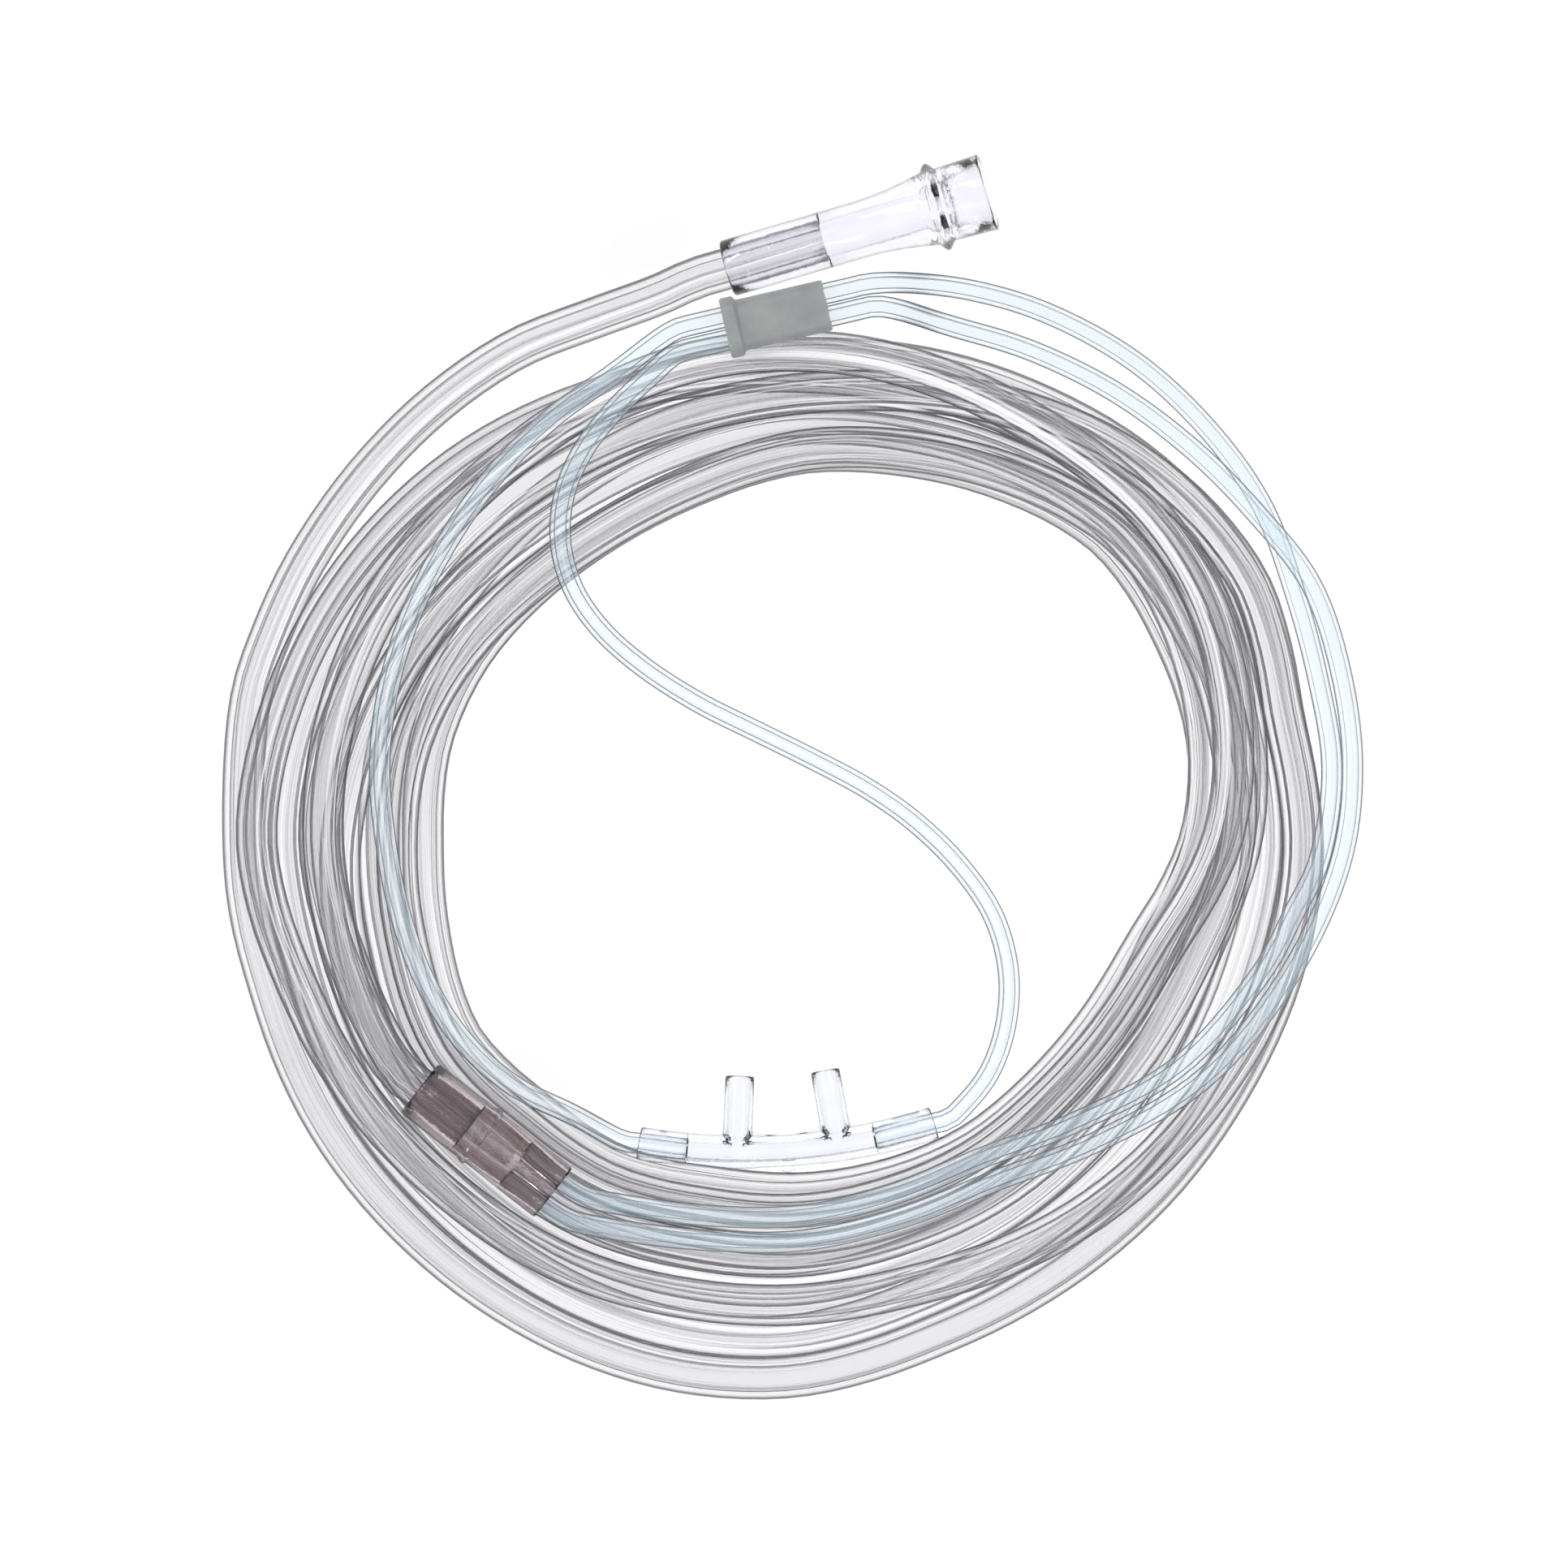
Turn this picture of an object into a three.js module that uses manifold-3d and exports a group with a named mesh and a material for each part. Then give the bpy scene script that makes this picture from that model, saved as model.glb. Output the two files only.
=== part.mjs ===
// A nasal oxygen cannula as it lies on a floor, wound up in a flat coil.
// Millimetres, +Z up, floor at z = 0. Plan points are counted from the middle of the coil.

import * as THREE from 'three';
import { mergeVertices } from 'three/addons/utils/BufferGeometryUtils.js';
import Module from 'manifold-3d';

// Tubing
const SUPPLY_OD = 7.2;
const HEADSET_OD = 3.7;
const SUPPLY_SIDES = 10;
const HEADSET_SIDES = 8;
const STEP_DIAMETERS = 2;
const GAP = 0.3;
// How far a tube runs on straight outside a socket's mouth
const SUPPLY_LEAD = 6;
const HEADSET_LEAD = 2.5;
// How far a cutting body stands out of a face that it opens
const CUT_THROUGH = 1;

// Where the middle of the coil lies, seen from the middle of the whole footprint
const COIL_MIDDLE = [0.76, -11.74];

// The coil of supply tube: inner radius, outer radius and height, every 15 degrees from +X
const COIL_ROWS = [
  [64.3, 89.3, 27.6], [68.5, 88.5, 27.8], [70.1, 91, 27.6], [71.2, 90.7, 26.4],
  [68.5, 89, 26.4], [65.6, 88.2, 25], [63.5, 87.9, 21.6], [60.7, 88.5, 20.6],
  [59.6, 88.9, 20.8], [60.1, 90.3, 18.8], [61.5, 91.5, 17], [62.1, 92.2, 17],
  [61.3, 97.6, 16.8], [62.2, 96, 15.8], [63.5, 95.6, 14.4], [63, 95.6, 14],
  [62.2, 95.7, 13.8], [58.6, 95.6, 13.8], [57.3, 94, 14], [56.8, 90.3, 15.8],
  [56.8, 88.5, 18.4], [55.6, 87.9, 19.4], [56, 87.9, 20.4], [57.9, 88.9, 23.2],
];
const COIL_SEGMENTS = 60;
// Its section as shares of its width, from the inside out, and of its height
const COIL_CROWN = [
  [0, 0.42], [0.05, 0.7], [0.14, 0.92], [0.26, 1], [0.74, 1], [0.86, 0.92], [0.95, 0.7], [1, 0.42],
];
const COIL_FOOT = [[0, 0.2], [0.08, 0], [0.92, 0], [1, 0.2]];

// Nosepiece: a bent barrel with a socket at each end and two prongs
const BARREL_OD = 5.7;
const BARREL_LENGTH = 51.2;
const BARREL_BEND_RADIUS = 108.6;
const BARREL_BORE = 2.8;
const BARREL_SEGMENTS = 14;
const LEFT_SOCKET_DEPTH = 8.2;
const RIGHT_SOCKET_DEPTH = 10.4;
const PRONG_OD = 5;
const PRONG_BORE = 3.9;
const PRONG_LENGTH = 13;
const PRONG_PITCH = 17.4;
const PRONG_LEAN = 1.6;
const WEB_THICKNESS = 0.8;
const WEB_DEPTH = 1.7;
const GATE_WIDTH = 2.2;
const GATE_DEPTH = 0.9;
const NOSEPIECE_PLACE = [-2, -52.4];
const NOSEPIECE_TURN = 3.9;

// Chin slide: a flat oval sleeve that runs on the two headset tubes
const SLIDE_LENGTH = 17.8;
const SLIDE_WALL = 0.45;
const SLIDE_CLEARANCE = 0.15;
const SLIDE_TUBE_PITCH = 3.9;
const SLIDE_FLANGE_LENGTH = 2.4;
const SLIDE_FLANGE_RIM = 0.8;
const SLIDE_TRAVEL = 5;
const SLIDE_LEAD = 3;
const SLIDE_PLACE = [-3.96, 89.6];
const SLIDE_TURN = 13.1;

// Y connector
const Y_INLET_OD = 10.7;
const Y_INLET_LENGTH = 13.3;
const Y_INLET_SOCKET = 11;
const Y_COLLAR_OD = 11.4;
const Y_COLLAR_LENGTH = 1.2;
const Y_LENGTH = 28.9;
const Y_OUTLET_PITCH = 4.8;
const Y_OUTLET_WALL = 0.75;
const Y_OUTLET_SOCKET = 8;
const Y_PASSAGE = 2.5;
const Y_PLACE = [-64.6, -41.4];
const Y_TURN = -38;

// Funnel connector, which pushes onto the nipple of the oxygen supply
const SLEEVE_OD = 9.8;
const SLEEVE_CHAMFER = 0.5;
const SLEEVE_SOCKET = 17.4;
const FUNNEL_LENGTH = 46.6;
const FUNNEL_BORE = 6.4;
const FLANGE_OD = 15.4;
const FLANGE_AT = 37.5;
const FLANGE_LENGTH = 2.6;
const NECK_OD = 12.9;
const MOUTH_OD = 13.5;
const MOUTH_BORE = 12.2;
const CONE_DEPTH = 7.2;
const CONE_END_BORE = 8.2;
// The flare between sleeve and flange, as shares of its length and of its step in radius
const FLARE = [[0, 0], [0.5, 0.15], [0.8, 0.5], [1, 1]];
const FUNNEL_PLACE = [-12.4, 98.3];
const FUNNEL_TURN = 16.3;

const ROUND_SIDES = 24;

const wasm = await Module();
wasm.setup();

function radians(degrees) {
  return THREE.MathUtils.degToRad(degrees);
}

// Solids for cutting and joining

function solid(geometry) {
  const bare = geometry.clone();
  bare.deleteAttribute('normal');
  bare.deleteAttribute('uv');
  const merged = mergeVertices(bare);
  return new wasm.Manifold(new wasm.Mesh({
    numProp: 3,
    vertProperties: new Float32Array(merged.attributes.position.array),
    triVerts: new Uint32Array(merged.index.array),
  }));
}

function geometryOf(body) {
  const mesh = body.getMesh();
  const geometry = new THREE.BufferGeometry();
  geometry.setAttribute('position', new THREE.Float32BufferAttribute(mesh.vertProperties, 3));
  geometry.setIndex(new THREE.Uint32BufferAttribute(mesh.triVerts, 1));
  geometry.computeVertexNormals();
  return geometry;
}

function joined(geometries) {
  return geometries.map(solid).reduce((whole, next) => whole.add(next));
}

function cut(body, geometries) {
  return geometryOf(geometries.map(solid).reduce((whole, next) => whole.subtract(next), body));
}

// A round rod from start to end along +X
function rod(diameter, start, end, offset = 0) {
  const geometry = new THREE.CylinderGeometry(diameter / 2, diameter / 2, end - start, ROUND_SIDES);
  geometry.rotateZ(-Math.PI / 2);
  geometry.translate((start + end) / 2, offset, 0);
  return geometry;
}

// A body of revolution about +X from its closed profile of [along, radius]
function turned(profile) {
  const closed = [...profile, profile[0]].map(([along, radius]) => new THREE.Vector2(radius, along));
  const geometry = new THREE.LatheGeometry(closed, ROUND_SIDES);
  geometry.rotateZ(-Math.PI / 2);
  return geometry;
}

function mesh(name, geometry, material) {
  const made = new THREE.Mesh(geometry, material);
  made.name = name;
  return made;
}

// Puts a piece that was made along +X at its place, turned in plan, and tipped nose up by tip degrees
function placed(piece, [x, y], height, turn, tip = 0) {
  piece.position.set(x, y, height);
  piece.rotation.set(0, -radians(tip), radians(turn), 'ZYX');
  piece.updateMatrix();
  return piece;
}

// The coil

const coilCurve = new THREE.CatmullRomCurve3(
  COIL_ROWS.map(([inner, outer, height]) => new THREE.Vector3(inner, outer, height)), true, 'catmullrom',
);

function coilAt(angle) {
  const turn = (angle / (2 * Math.PI) + 1) % 1;
  const { x: inner, y: outer, z: height } = coilCurve.getPoint(turn);
  return { inner, outer, height };
}

function supplyCoil() {
  const crown = [...COIL_CROWN].reverse();
  const section = [...COIL_FOOT, ...crown, COIL_FOOT[0]];
  const outline = section.map(([across, up]) => new THREE.Vector2(1 + across, up));
  const geometry = new THREE.LatheGeometry(outline, COIL_SEGMENTS);
  geometry.rotateX(Math.PI / 2);
  const place = geometry.attributes.position;
  for (let i = 0; i < place.count; i += 1) {
    const angle = Math.atan2(place.getY(i), place.getX(i));
    const across = Math.hypot(place.getX(i), place.getY(i)) - 1;
    const { inner, outer, height } = coilAt(angle);
    const radius = inner + across * (outer - inner);
    place.setXYZ(i, radius * Math.cos(angle), radius * Math.sin(angle), place.getZ(i) * height);
  }
  return geometry;
}

// The height of the coil's top under a plan point, or the floor's
function coilTop(x, y) {
  const { inner, outer, height } = coilAt(Math.atan2(y, x));
  const across = (Math.hypot(x, y) - inner) / (outer - inner);
  const next = COIL_CROWN.findIndex(([share]) => share >= across);
  if (across < 0 || next < 0) return 0;
  if (next === 0) return COIL_CROWN[0][1] * height;
  const [before, low] = COIL_CROWN[next - 1];
  const [after, high] = COIL_CROWN[next];
  return height * (low + (high - low) * (across - before) / (after - before));
}

// The height of the middle of something round that lies on the coil or the floor there
function resting(x, y, diameter) {
  const far = Math.hypot(x, y);
  const tops = [-0.5, -0.25, 0, 0.25, 0.5].map((share) => {
    const scale = (far + share * diameter) / far;
    return coilTop(x * scale, y * scale);
  });
  return Math.max(...tops) + diameter / 2 + GAP;
}

// Rows of [angle, radius] or [angle, radius, height] around the coil; no height means it lies there
function around(rows, diameter) {
  return rows.map(([angle, radius, height]) => {
    const x = radius * Math.cos(radians(angle));
    const y = radius * Math.sin(radians(angle));
    return new THREE.Vector3(x, y, height ?? resting(x, y, diameter));
  });
}

// Rows of [x, y] or [x, y, height]
function across(rows, diameter) {
  return rows.map(([x, y, height]) => new THREE.Vector3(x, y, height ?? resting(x, y, diameter)));
}

// Points in a placed piece's own frame
function inPiece(piece, rows) {
  return rows.map(([x, y, z]) => new THREE.Vector3(x, y, z).applyMatrix4(piece.matrix));
}

function tube(points, diameter, sides) {
  const path = new THREE.CatmullRomCurve3(points, false, 'centripetal');
  const corners = Array.from({ length: sides }, (_, i) => {
    const angle = 2 * Math.PI * (i + 0.5) / sides;
    return new THREE.Vector2(diameter / 2 * Math.cos(angle), diameter / 2 * Math.sin(angle));
  });
  const steps = Math.round(path.getLength() / (STEP_DIAMETERS * diameter));
  return new THREE.ExtrudeGeometry(new THREE.Shape(corners), { steps, extrudePath: path });
}

// Nosepiece, bent so that its ends and prongs lean towards each other

function bentPoint(along) {
  const angle = along / BARREL_BEND_RADIUS;
  return new THREE.Vector3(
    BARREL_BEND_RADIUS * Math.sin(angle), BARREL_BEND_RADIUS * (1 - Math.cos(angle)), 0,
  );
}

function bent(geometry) {
  const place = geometry.attributes.position;
  for (let i = 0; i < place.count; i += 1) {
    const angle = place.getX(i) / BARREL_BEND_RADIUS;
    const radius = BARREL_BEND_RADIUS - place.getY(i);
    place.setX(i, radius * Math.sin(angle));
    place.setY(i, BARREL_BEND_RADIUS - radius * Math.cos(angle));
  }
  return geometry;
}

function bentRod(diameter, start, end) {
  const segments = Math.ceil(BARREL_SEGMENTS * (end - start) / BARREL_LENGTH);
  const geometry = new THREE.CylinderGeometry(
    diameter / 2, diameter / 2, end - start, ROUND_SIDES, segments,
  );
  geometry.rotateZ(-Math.PI / 2);
  geometry.translate((start + end) / 2, 0, 0);
  return bent(geometry);
}

function prongRod(side, diameter, start, end) {
  const geometry = new THREE.CylinderGeometry(diameter / 2, diameter / 2, end - start, ROUND_SIDES);
  const root = bentPoint(side * PRONG_PITCH / 2);
  geometry.translate(0, (start + end) / 2, 0);
  geometry.rotateZ(side * (radians(PRONG_LEAN) + PRONG_PITCH / 2 / BARREL_BEND_RADIUS));
  geometry.translate(root.x, root.y, 0);
  return geometry;
}

function web() {
  const half = PRONG_PITCH / 2;
  const top = BARREL_OD / 2;
  const outline = new THREE.Shape();
  outline.moveTo(-half, 0);
  outline.lineTo(half, 0);
  outline.lineTo(half, top + WEB_DEPTH);
  outline.quadraticCurveTo(0, top - WEB_DEPTH, -half, top + WEB_DEPTH);
  const geometry = new THREE.ExtrudeGeometry(
    outline, { depth: WEB_THICKNESS, bevelEnabled: false, curveSegments: 8 },
  );
  geometry.translate(0, 0, -WEB_THICKNESS / 2);
  return bent(geometry);
}

function gateNub() {
  const geometry = new THREE.BoxGeometry(GATE_WIDTH, 2 * GATE_DEPTH, 2 * GATE_DEPTH);
  geometry.translate(0, -BARREL_OD / 2, 0);
  return bent(geometry);
}

const socketBore = HEADSET_OD + 2 * GAP;
const barrelHalf = BARREL_LENGTH / 2;

function nosepiece() {
  const left = -barrelHalf;
  const right = barrelHalf;
  const body = joined([
    bentRod(BARREL_OD, left, right),
    prongRod(-1, PRONG_OD, 0, PRONG_LENGTH),
    prongRod(1, PRONG_OD, 0, PRONG_LENGTH),
    web(),
    gateNub(),
  ]);
  return cut(body, [
    bentRod(BARREL_BORE, left + LEFT_SOCKET_DEPTH - GAP, right - RIGHT_SOCKET_DEPTH + GAP),
    bentRod(socketBore, left - CUT_THROUGH, left + LEFT_SOCKET_DEPTH),
    bentRod(socketBore, right - RIGHT_SOCKET_DEPTH, right + CUT_THROUGH),
    prongRod(-1, PRONG_BORE, 0, PRONG_LENGTH + CUT_THROUGH),
    prongRod(1, PRONG_BORE, 0, PRONG_LENGTH + CUT_THROUGH),
  ]);
}

// The straight stretch of tube in a socket, from its end to just outside the mouth
function socketRun(side, depth) {
  const end = bentPoint(side * (barrelHalf - depth + GAP));
  const mouth = bentPoint(side * barrelHalf);
  const along = mouth.clone().sub(end).normalize();
  const outside = mouth.clone().addScaledVector(along, HEADSET_LEAD);
  return [end, mouth, outside].map((p) => [p.x, p.y, p.z]);
}

// Chin slide

const slideBore = HEADSET_OD + 2 * SLIDE_CLEARANCE;
const slideHeight = slideBore + 2 * SLIDE_WALL;
const slideFlangeHeight = slideHeight + 2 * SLIDE_FLANGE_RIM;

// A flat oval bar along +X: two half rounds joined by flats
function ovalBar(height, start, end) {
  const half = SLIDE_TUBE_PITCH / 2;
  const outline = new THREE.Shape();
  outline.absarc(half, 0, height / 2, -Math.PI / 2, Math.PI / 2, false);
  outline.absarc(-half, 0, height / 2, Math.PI / 2, 3 * Math.PI / 2, false);
  const geometry = new THREE.ExtrudeGeometry(
    outline, { depth: end - start, bevelEnabled: false, curveSegments: 6 },
  );
  geometry.rotateX(Math.PI / 2);
  geometry.rotateZ(Math.PI / 2);
  geometry.translate(start, 0, 0);
  return geometry;
}

function chinSlide() {
  const end = SLIDE_LENGTH / 2;
  const body = joined([
    ovalBar(slideHeight, -end, end),
    ovalBar(slideFlangeHeight, -end, -end + SLIDE_FLANGE_LENGTH),
  ]);
  return cut(body, [-1, 1].map((side) => (
    rod(slideBore, -end - CUT_THROUGH, end + CUT_THROUGH, side * SLIDE_TUBE_PITCH / 2)
  )));
}

// Y connector, from its inlet face at x = 0

const yOutletSocket = HEADSET_OD + 2 * GAP;

function yConnector() {
  const supplySocket = SUPPLY_OD + 2 * GAP;
  const outlets = [-Y_OUTLET_PITCH / 2, Y_OUTLET_PITCH / 2];
  const collarAt = Y_INLET_LENGTH - Y_COLLAR_LENGTH / 2;
  const outletFloor = Y_LENGTH - Y_OUTLET_SOCKET;
  const body = joined([
    rod(Y_INLET_OD, 0, Y_INLET_LENGTH),
    rod(Y_COLLAR_OD, collarAt, collarAt + Y_COLLAR_LENGTH),
    ...outlets.map((y) => rod(yOutletSocket + 2 * Y_OUTLET_WALL, collarAt, Y_LENGTH, y)),
  ]);
  return cut(body, [
    rod(supplySocket, -CUT_THROUGH, Y_INLET_SOCKET),
    ...outlets.map((y) => rod(Y_PASSAGE, Y_INLET_SOCKET - CUT_THROUGH, outletFloor + CUT_THROUGH, y)),
    ...outlets.map((y) => rod(yOutletSocket, outletFloor, Y_LENGTH + CUT_THROUGH, y)),
  ]);
}

// Funnel connector, from its sleeve's end face at x = 0

function funnelConnector() {
  const sleeve = SLEEVE_OD / 2;
  const neck = NECK_OD / 2;
  const flangeStart = FLANGE_AT - FLANGE_LENGTH / 2;
  const flangeEnd = FLANGE_AT + FLANGE_LENGTH / 2;
  const flareStart = FUNNEL_LENGTH / 2;
  const coneEnd = FUNNEL_LENGTH - CONE_DEPTH;
  const socket = SUPPLY_OD / 2 + GAP;
  return turned([
    [0, socket],
    [0, sleeve - SLEEVE_CHAMFER],
    [SLEEVE_CHAMFER, sleeve],
    ...FLARE.map(([share, step]) => (
      [flareStart + share * (flangeStart - flareStart), sleeve + step * (neck - sleeve)]
    )),
    [FLANGE_AT, FLANGE_OD / 2],
    [flangeEnd, neck],
    [FUNNEL_LENGTH, MOUTH_OD / 2],
    [FUNNEL_LENGTH, MOUTH_BORE / 2],
    [coneEnd, CONE_END_BORE / 2],
    [flangeStart, CONE_END_BORE / 2],
    [flangeStart - 2 * GAP, FUNNEL_BORE / 2],
    [SLEEVE_SOCKET, FUNNEL_BORE / 2],
    [SLEEVE_SOCKET, socket],
  ]);
}

// Materials

const clearVinyl = new THREE.MeshStandardMaterial({ color: 0xdfe1e8, roughness: 0.08, metalness: 0 });
const clearSoft = new THREE.MeshStandardMaterial({ color: 0xe4eaf4, roughness: 0.1, metalness: 0 });
const clearViolet = new THREE.MeshStandardMaterial({ color: 0xdcdcea, roughness: 0.06, metalness: 0 });
const smokeVinyl = new THREE.MeshStandardMaterial({ color: 0x93868c, roughness: 0.12, metalness: 0 });
const greyVinyl = new THREE.MeshStandardMaterial({ color: 0x8e9394, roughness: 0.5, metalness: 0 });

// The rigid pieces in their places

const nose = placed(
  mesh('nosepiece', nosepiece(), clearSoft), NOSEPIECE_PLACE, BARREL_OD / 2, NOSEPIECE_TURN,
);

// The inner side of the slide lies on the coil's outer shoulder, and the Y connector on the coil's top
const slide = placed(mesh('chin_slide', chinSlide(), greyVinyl), SLIDE_PLACE, 0, SLIDE_TURN);
const slideSide = -(SLIDE_TUBE_PITCH + slideHeight) / 2;
const slideSeat = Math.max(...inPiece(slide, [-SLIDE_LENGTH / 2, 0, SLIDE_LENGTH / 2].map((x) => (
  [x, slideSide, 0]
))).map(({ x, y }) => coilTop(x, y)));
placed(slide, SLIDE_PLACE, slideSeat + slideFlangeHeight / 2 + GAP, SLIDE_TURN);
const yHeight = resting(Y_PLACE[0], Y_PLACE[1], Y_COLLAR_OD);
const yPiece = placed(mesh('y_connector', yConnector(), smokeVinyl), Y_PLACE, yHeight, Y_TURN);

// The funnel lies on its flange and on its sleeve's end
const funnelTip = THREE.MathUtils.radToDeg(Math.atan2((FLANGE_OD - SLEEVE_OD) / 2, FLANGE_AT));
const funnel = placed(
  mesh('funnel_connector', funnelConnector(), clearViolet),
  FUNNEL_PLACE, SLEEVE_OD / 2, FUNNEL_TURN, funnelTip,
);

// The tubes, with their routes as lists of points

const supplyToFunnel = [
  ...inPiece(funnel, [[SLEEVE_SOCKET - GAP, 0, 0], [0, 0, 0], [-SUPPLY_LEAD, 0, 0]]),
  ...around([[104, 97, 4], [111, 96.5, 3.6], [120, 97.5, 3.6], [130, 97.5, 3.6], [140, 97.2, 3.6],
    [150, 97, 3.6], [158, 96.7, 3.6], [165, 96.4, 3.6]], SUPPLY_OD),
];

const supplyToY = [
  ...around([[165, 83.3], [172, 82.4], [180, 81.3], [190, 79.4], [199, 78]], SUPPLY_OD),
  ...inPiece(yPiece, [[-SUPPLY_LEAD, 0, 0], [0, 0, 0], [Y_INLET_SOCKET - GAP, 0, 0]]),
];

// One headset tube's stretch inside the slide, on the photograph's right first
function slideRun(side) {
  const straight = SLIDE_LENGTH / 2 + SLIDE_TRAVEL;
  const y = side * SLIDE_TUBE_PITCH / 2;
  const outer = straight + SLIDE_LEAD;
  return inPiece(slide, [outer, straight, -straight, -outer].map((x) => [x, y, 0]));
}

// One headset tube's start in its outlet of the Y connector
function outletRun(side) {
  const y = side * Y_OUTLET_PITCH / 2;
  const inside = Y_LENGTH - Y_OUTLET_SOCKET + GAP;
  return inPiece(yPiece, [[inside, y, 0], [Y_LENGTH, y, 0], [Y_LENGTH + HEADSET_LEAD, y, 0]]);
}

const headsetLeft = [
  ...outletRun(1),
  ...around([[243, 68.6], [255, 65.3], [270, 63.2], [285, 61.6], [300, 61.6], [315, 66.7], [330, 75],
    [345, 81.9], [352, 84.9], [358, 88.4, 24.4], [8, 91.7, 15], [18, 93, 7.5], [27, 95, 5.8], [36, 98, 5.8],
    [45, 99.5, 2.6], [55, 100.4, 2.1], [65, 100, 5], [73, 98.8, 12]], HEADSET_OD),
  ...slideRun(1),
  ...around([[112, 85.8], [120, 83.8], [130, 81.3], [140, 78.8], [150, 76.7], [160, 74.7], [170, 72.6],
    [180, 70.4], [190, 69], [200, 67.9], [210, 66.4], [220, 63.8, 12.5], [230, 60.2, 7.5]], HEADSET_OD),
  ...inPiece(nose, socketRun(-1, LEFT_SOCKET_DEPTH).reverse()),
];

const headsetRight = [
  ...outletRun(-1),
  ...around([[243, 73.2], [255, 69.6], [270, 67.5], [285, 65.9], [300, 66.2], [315, 71.6], [330, 79.6],
    [345, 86.3], [358, 92.2, 15], [8, 95.2, 7], [18, 97, 2.4], [27, 98, 2.2], [36, 96.3, 2.1],
    [45, 95.2, 2.1], [55, 94.2, 2.1], [65, 93, 5], [73, 92, 12]], HEADSET_OD),
  ...slideRun(-1),
  ...across([[-25.2, 79.8], [-31.3, 74], [-36.8, 67], [-40, 59.7], [-40.7, 51.4], [-38.6, 43.6, 17],
    [-34, 36.8, 11], [-27.1, 30.6, 6], [-17.4, 24.3, 2.8], [-7.6, 19.4], [2.1, 14.6], [11.8, 9.4],
    [20.1, 3.5], [27.8, -4.2], [33.3, -12.5], [35.8, -22.2], [35.1, -31.9], [32.2, -39.6],
    [28.2, -44.6, 2.4]], HEADSET_OD),
  ...inPiece(nose, socketRun(1, RIGHT_SOCKET_DEPTH).reverse()),
];

const cannula = new THREE.Group();
cannula.add(
  nose,
  slide,
  yPiece,
  funnel,
  mesh('supply_coil', supplyCoil(), clearVinyl),
  mesh('supply_tube_to_funnel', tube(supplyToFunnel, SUPPLY_OD, SUPPLY_SIDES), clearVinyl),
  mesh('supply_tube_to_y', tube(supplyToY, SUPPLY_OD, SUPPLY_SIDES), clearVinyl),
  mesh('headset_tube_left', tube(headsetLeft, HEADSET_OD, HEADSET_SIDES), clearSoft),
  mesh('headset_tube_right', tube(headsetRight, HEADSET_OD, HEADSET_SIDES), clearSoft),
);
cannula.position.set(COIL_MIDDLE[0], COIL_MIDDLE[1], 0);
cannula.updateMatrixWorld(true);

export default cannula;
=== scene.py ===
"""The look of a nasal oxygen cannula that lies on a pale floor, wound up in a flat coil.

Sizes are written in millimetres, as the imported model's are, and become metres when a mesh is made.
Plan points are counted from the middle of the coil.
"""
import math

import bmesh
import bpy
import numpy as np
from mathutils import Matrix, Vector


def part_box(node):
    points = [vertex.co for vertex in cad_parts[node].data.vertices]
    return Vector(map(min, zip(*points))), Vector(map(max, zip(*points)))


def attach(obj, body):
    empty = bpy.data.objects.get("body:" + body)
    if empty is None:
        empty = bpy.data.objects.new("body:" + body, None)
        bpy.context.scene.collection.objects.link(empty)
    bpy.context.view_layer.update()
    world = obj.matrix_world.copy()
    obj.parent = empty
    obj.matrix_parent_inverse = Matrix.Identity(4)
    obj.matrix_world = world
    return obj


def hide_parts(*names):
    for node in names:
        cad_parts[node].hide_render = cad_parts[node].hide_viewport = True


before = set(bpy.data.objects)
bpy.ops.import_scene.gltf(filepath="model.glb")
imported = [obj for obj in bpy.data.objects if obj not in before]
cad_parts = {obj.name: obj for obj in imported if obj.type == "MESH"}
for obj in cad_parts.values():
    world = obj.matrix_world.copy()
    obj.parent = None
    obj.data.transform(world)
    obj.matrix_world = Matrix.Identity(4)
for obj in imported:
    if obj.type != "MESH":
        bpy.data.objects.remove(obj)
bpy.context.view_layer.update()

MM = 0.001
COIL_MIDDLE = np.array([0.76, -11.74])

# Tubing
SUPPLY_OD = 7.2
SUPPLY_BORE = 4.7
SUPPLY_RIB = 0.34
HEADSET_OD = 3.7
HEADSET_BORE = 2.2
HEADSET_RIB = 0.1
LUMEN_RIBS = 5
LUMEN_TWIST = 0.9
LUMEN_TWIST_LENGTH = 260
SUPPLY_SIDES = 30
HEADSET_SIDES = 30
SUPPLY_LEAD = 6
HEADSET_LEAD = 2.5
FIT = 0.06

# Nosepiece
BARREL_OD = 5.7
BARREL_LENGTH = 51.2
BARREL_BEND_RADIUS = 108.6
BARREL_BORE = 2.8
LEFT_SOCKET_DEPTH = 8.2
RIGHT_SOCKET_DEPTH = 10.4
PRONG_OD = 5
PRONG_BORE = 3.9
PRONG_LENGTH = 13
PRONG_PITCH = 17.4
PRONG_LEAN = 1.6
PRONG_FLARE = 0.32
WEB_THICKNESS = 0.8
WEB_DEPTH = 1.7
GATE_WIDTH = 2.2
NOSEPIECE_PLACE = (-2, -52.4)
NOSEPIECE_TURN = 3.9

# Chin slide
SLIDE_LENGTH = 17.8
SLIDE_WALL = 0.45
SLIDE_CLEARANCE = 0.15
SLIDE_TUBE_PITCH = 3.9
SLIDE_FLANGE_LENGTH = 2.4
SLIDE_FLANGE_RIM = 0.8
SLIDE_TRAVEL = 5
SLIDE_PLACE = (-3.96, 89.6)
SLIDE_TURN = 13.1

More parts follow.
